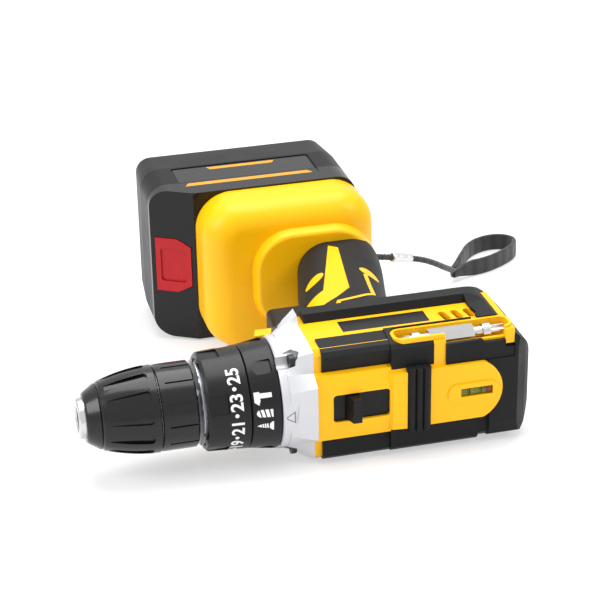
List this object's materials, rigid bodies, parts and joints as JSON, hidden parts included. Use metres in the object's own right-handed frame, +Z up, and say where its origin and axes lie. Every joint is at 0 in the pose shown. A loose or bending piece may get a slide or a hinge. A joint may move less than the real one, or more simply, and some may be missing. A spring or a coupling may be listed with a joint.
{
  "type": "cordless drill",
  "caption": "Pistol-grip cordless hammer drill lying on its side, with keyless chuck, clutch collar, planetary gearbox, motor, slide-on battery pack, bit tray and wrist strap.",
  "frame": {"origin": "centre of the footprint on the floor that the tool lies on, wrist strap left out", "axes": "-X along the chuck axis out of the nose, -Y from the battery pack to the top of the tool, +Z up, through the tool's right side"},
  "size_m": [0.2578, 0.2268, 0.0782],
  "materials": {
    "case_yellow": "fine satin moulded texture",
    "rubber_charcoal": "matt overmould",
    "black_gloss_plastic": "glossy",
    "black_plastic": "fine matt texture",
    "silver_paint": "satin silver paint",
    "steel": "turned and ground",
    "chrome_steel": "bright plated",
    "dark_steel": "sintered, oiled",
    "zinc_steel": "zinc plated",
    "copper": "enamelled copper wire",
    "brass": "drawn",
    "red_plastic": "glossy",
    "clear_acrylic": "polished",
    "lens_clear": "polished",
    "board": "solder mask",
    "cell_wrap": "shrink wrap",
    "webbing": "woven polyester",
    "crimp": "bright crimped sleeve"
  },
  "bodies": {
    "housing": {"housing_right": "case_yellow", "housing_left": "case_yellow", "overmould_right": "rubber_charcoal", "overmould_left": "rubber_charcoal", "nose_housing": "silver_paint", "gear_case": "black_plastic", "output_ring_gear": "dark_steel", "spindle_bearings": "steel", "clutch_balls": "chrome_steel", "clutch_washer": "zinc_steel", "clutch_spring": "zinc_steel", "detent_plate": "zinc_steel", "motor_plate": "zinc_steel", "motor_can": "zinc_steel", "magnets": "dark_steel", "end_bell": "black_plastic", "brushes": "dark_steel", "bit_tray": "case_yellow", "level_vial": "clear_acrylic", "switch_body": "black_plastic", "trigger_spring": "zinc_steel", "lamp_lens": "lens_clear", "power_leads": "red_plastic", "housing_screws": "dark_steel", "battery_shoe": "black_plastic", "contact_blades": "brass", "strap_cord": "webbing", "strap_crimp": "crimp", "strap_webbing": "webbing"},
    "spindle_group": {"chuck_body": "steel", "rear_sleeve": "black_gloss_plastic", "chuck_screw": "dark_steel", "spindle": "steel"},
    "front_sleeve": {"chuck_sleeve": "black_gloss_plastic", "jaw_nut": "dark_steel"},
    "sun_gear": {"sun_carrier": "dark_steel"},
    "rotor": {"armature": "steel", "armature_windings": "copper"},
    "torque_collar": {"torque_ring": "black_gloss_plastic"},
    "mode_collar": {"mode_ring": "black_gloss_plastic"},
    "speed_selector": {"speed_slider": "black_plastic"},
    "speed_ring": {"shift_ring": "dark_steel"},
    "trigger_key": {"trigger": "black_plastic"},
    "direction_key": {"direction_button": "black_plastic"},
    "battery_pack": {"pack_upper": "black_gloss_plastic", "pack_lower": "black_plastic", "cells": "cell_wrap", "pack_board": "board", "latch_spring": "zinc_steel"},
    "release_key": {"release_button": "red_plastic"},
    "spare_bit": {"stored_bit": "chrome_steel"},
    "jaw_body_1": {"jaw_1": "steel"},
    "output_planet_body_1": {"output_planet_1": "dark_steel"},
    "input_planet_body_1": {"input_planet_1": "dark_steel"},
    "jaw_body_2": {"jaw_2": "steel"},
    "output_planet_body_2": {"output_planet_2": "dark_steel"},
    "input_planet_body_2": {"input_planet_2": "dark_steel"},
    "jaw_body_3": {"jaw_3": "steel"},
    "output_planet_body_3": {"output_planet_3": "dark_steel"},
    "input_planet_body_3": {"input_planet_3": "dark_steel"}
  },
  "joints": [
    {"name": "chuck_spin", "type": "hinge", "parent": "housing", "child": "spindle_group", "pos_m": [-0.074, -0.07884, 0.02824], "axis": [1, 0, 0], "continuous": true},
    {"name": "sun_spin", "type": "hinge", "parent": "housing", "child": "sun_gear", "pos_m": [-0.014, -0.07884, 0.02824], "axis": [1, 0, 0], "continuous": true},
    {"name": "rotor_spin", "type": "hinge", "parent": "housing", "child": "rotor", "pos_m": [0.036, -0.07884, 0.02824], "axis": [1, 0, 0], "continuous": true},
    {"name": "sleeve_turn", "type": "hinge", "parent": "spindle_group", "child": "front_sleeve", "pos_m": [-0.074, -0.07884, 0.02824], "axis": [1, 0, 0], "range_deg": [0, 2880]},
    {"name": "torque_turn", "type": "hinge", "parent": "housing", "child": "torque_collar", "pos_m": [-0.034, -0.07884, 0.02824], "axis": [1, 0, 0], "range_deg": [-200, 80]},
    {"name": "mode_turn", "type": "hinge", "parent": "housing", "child": "mode_collar", "pos_m": [-0.02, -0.07884, 0.02824], "axis": [1, 0, 0], "range_deg": [-30, 30]},
    {"name": "speed_slide", "type": "slide", "parent": "housing", "child": "speed_selector", "axis": [1, 0, 0], "range_m": [0, 0.0068]},
    {"name": "ring_slide", "type": "slide", "parent": "housing", "child": "speed_ring", "axis": [1, 0, 0], "range_m": [0, 0.0068]},
    {"name": "trigger_pull", "type": "slide", "parent": "housing", "child": "trigger_key", "axis": [1, 0, 0], "range_m": [0, 0.007], "stiffness_N_per_m": 500, "springref_m": -0.003, "deforming": ["trigger_spring"]},
    {"name": "direction_push", "type": "slide", "parent": "housing", "child": "direction_key", "axis": [0, -0.0785, 0.9969], "range_m": [-0.0025, 0.0025]},
    {"name": "pack_slide", "type": "slide", "parent": "housing", "child": "battery_pack", "axis": [-1, 0, 0], "range_m": [0, 0.07]},
    {"name": "release_press", "type": "slide", "parent": "battery_pack", "child": "release_key", "axis": [0.501, 0.8628, 0.0679], "range_m": [0, 0.002], "stiffness_N_per_m": 1200, "springref_m": -0.001, "deforming": ["latch_spring"]},
    {"name": "bit_lift", "type": "slide", "parent": "housing", "child": "spare_bit", "axis": [0, -0.0785, 0.9969], "range_m": [0, 0.03]},
    {"name": "jaw_slide_1", "type": "slide", "parent": "spindle_group", "child": "jaw_body_1", "axis": [-0.9659, -0.258, -0.0203], "range_m": [0, 0.0176]},
    {"name": "output_planet_spin_1", "type": "hinge", "parent": "spindle_group", "child": "output_planet_body_1", "pos_m": [-0.018, -0.06942, 0.02899], "axis": [1, 0, 0], "continuous": true},
    {"name": "input_planet_spin_1", "type": "hinge", "parent": "sun_gear", "child": "input_planet_body_1", "pos_m": [0, -0.06942, 0.02899], "axis": [1, 0, 0], "continuous": true},
    {"name": "jaw_slide_2", "type": "slide", "parent": "spindle_group", "child": "jaw_body_2", "axis": [-0.9659, 0.1466, -0.2133], "range_m": [0, 0.0176]},
    {"name": "output_planet_spin_2", "type": "hinge", "parent": "spindle_group", "child": "output_planet_body_2", "pos_m": [-0.018, -0.08419, 0.03603], "axis": [1, 0, 0], "continuous": true},
    {"name": "input_planet_spin_2", "type": "hinge", "parent": "sun_gear", "child": "input_planet_body_2", "pos_m": [0, -0.08419, 0.03603], "axis": [1, 0, 0], "continuous": true},
    {"name": "jaw_slide_3", "type": "slide", "parent": "spindle_group", "child": "jaw_body_3", "axis": [-0.9659, 0.1114, 0.2336], "range_m": [0, 0.0176]},
    {"name": "output_planet_spin_3", "type": "hinge", "parent": "spindle_group", "child": "output_planet_body_3", "pos_m": [-0.018, -0.08291, 0.01971], "axis": [1, 0, 0], "continuous": true},
    {"name": "input_planet_spin_3", "type": "hinge", "parent": "sun_gear", "child": "input_planet_body_3", "pos_m": [0, -0.08291, 0.01971], "axis": [1, 0, 0], "continuous": true}
  ],
  "couplings": [
    {"joint": "sun_spin", "follows": "chuck_spin", "ratio": 4.5},
    {"joint": "rotor_spin", "follows": "chuck_spin", "ratio": 20.25},
    {"joint": "ring_slide", "follows": "speed_slide", "ratio": 1},
    {"joint": "output_planet_spin_1", "follows": "chuck_spin", "ratio": -2.8},
    {"joint": "input_planet_spin_1", "follows": "chuck_spin", "ratio": -12.6},
    {"joint": "jaw_slide_1", "follows": "sleeve_turn", "m_per_rad": 0.00035014},
    {"joint": "output_planet_spin_2", "follows": "chuck_spin", "ratio": -2.8},
    {"joint": "input_planet_spin_2", "follows": "chuck_spin", "ratio": -12.6},
    {"joint": "jaw_slide_2", "follows": "sleeve_turn", "m_per_rad": 0.00035014},
    {"joint": "output_planet_spin_3", "follows": "chuck_spin", "ratio": -2.8},
    {"joint": "input_planet_spin_3", "follows": "chuck_spin", "ratio": -12.6},
    {"joint": "jaw_slide_3", "follows": "sleeve_turn", "m_per_rad": 0.00035014}
  ]
}
